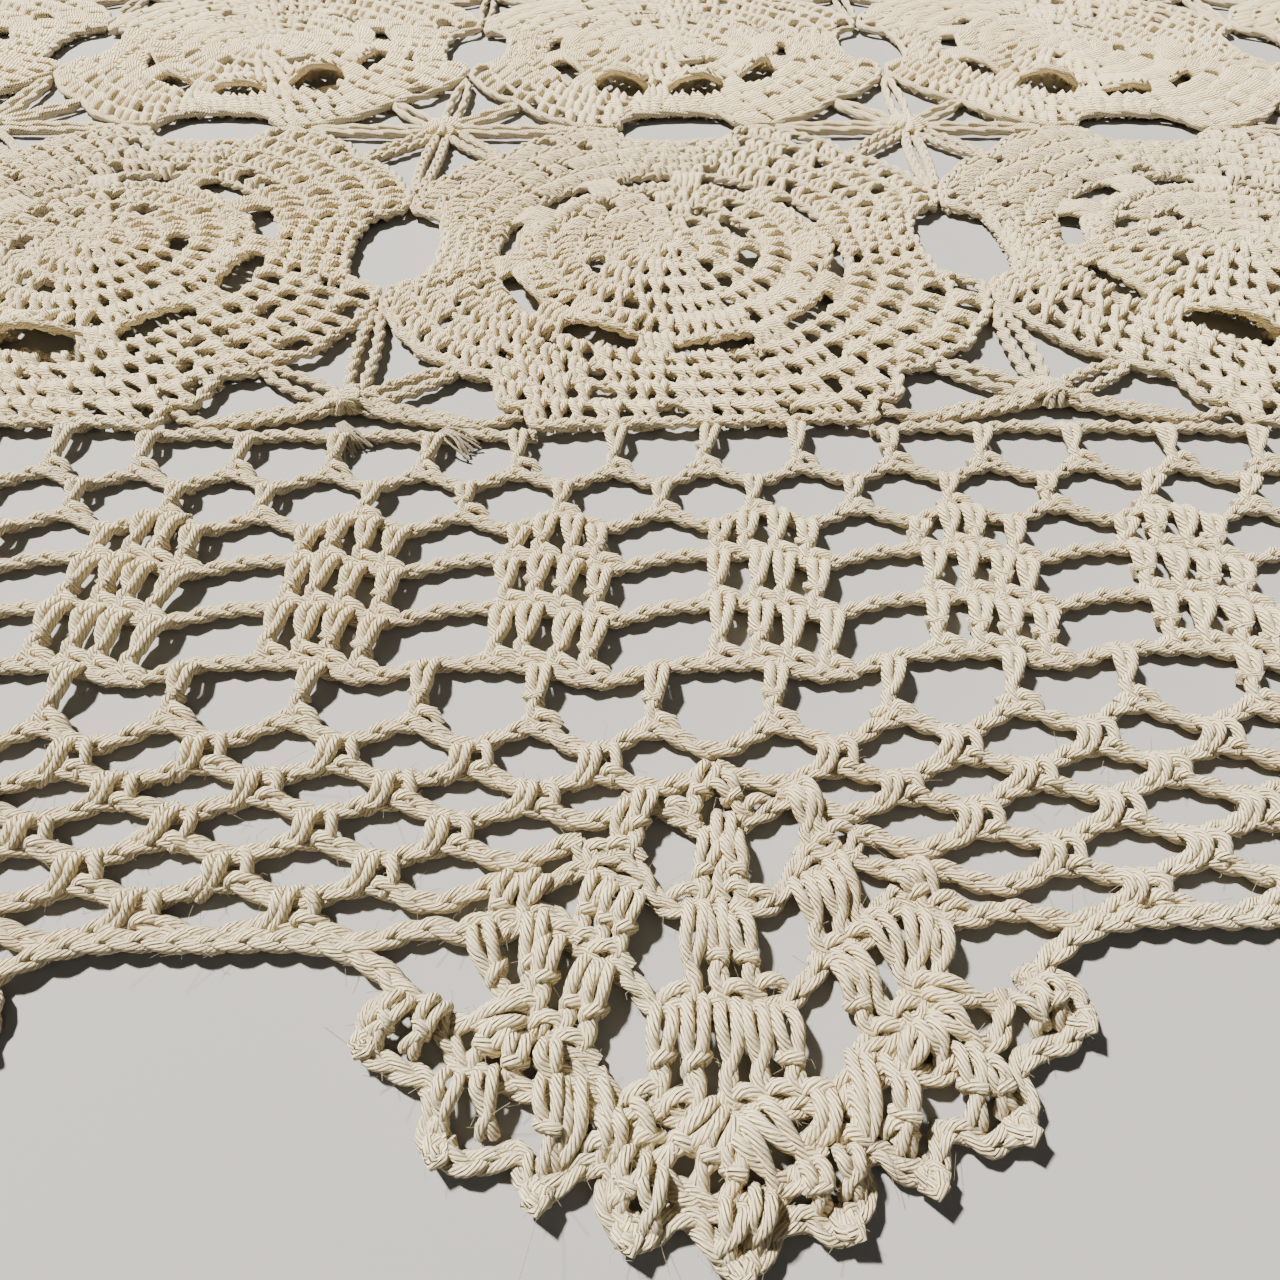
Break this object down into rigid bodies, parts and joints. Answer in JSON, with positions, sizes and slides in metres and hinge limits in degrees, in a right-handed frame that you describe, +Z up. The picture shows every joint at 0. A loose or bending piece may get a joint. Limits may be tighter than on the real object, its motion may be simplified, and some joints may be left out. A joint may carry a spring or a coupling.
{
  "type": "crochet table runner",
  "caption": "Flat cotton crochet table runner of joined rosette motifs with star fillings, a mesh and block border, a net and scalloped fans with picots.",
  "frame": {"origin": "centre of the runner's underside, on the surface that it lies on", "axes": "+X along the runner, +Y across it away from the edge that the picture shows nearest, +Z up"},
  "size_m": [0.5736, 0.3218, 0.0046],
  "materials": {
    "motif_cotton": "matt natural cotton yarn, dense double crochet",
    "star_cotton": "matt natural cotton yarn, chains",
    "border_cotton": "matt natural cotton yarn, open mesh, net and fans"
  },
  "bodies": {
    "root": {"motif_front_1": "motif_cotton", "motif_front_2": "motif_cotton", "motif_front_3": "motif_cotton", "motif_front_4": "motif_cotton", "motif_front_5": "motif_cotton", "motif_back_1": "motif_cotton", "motif_back_2": "motif_cotton", "motif_back_3": "motif_cotton", "motif_back_4": "motif_cotton", "motif_back_5": "motif_cotton", "star_1": "star_cotton", "star_2": "star_cotton", "star_3": "star_cotton", "star_4": "star_cotton", "border": "border_cotton"}
  },
  "joints": []
}
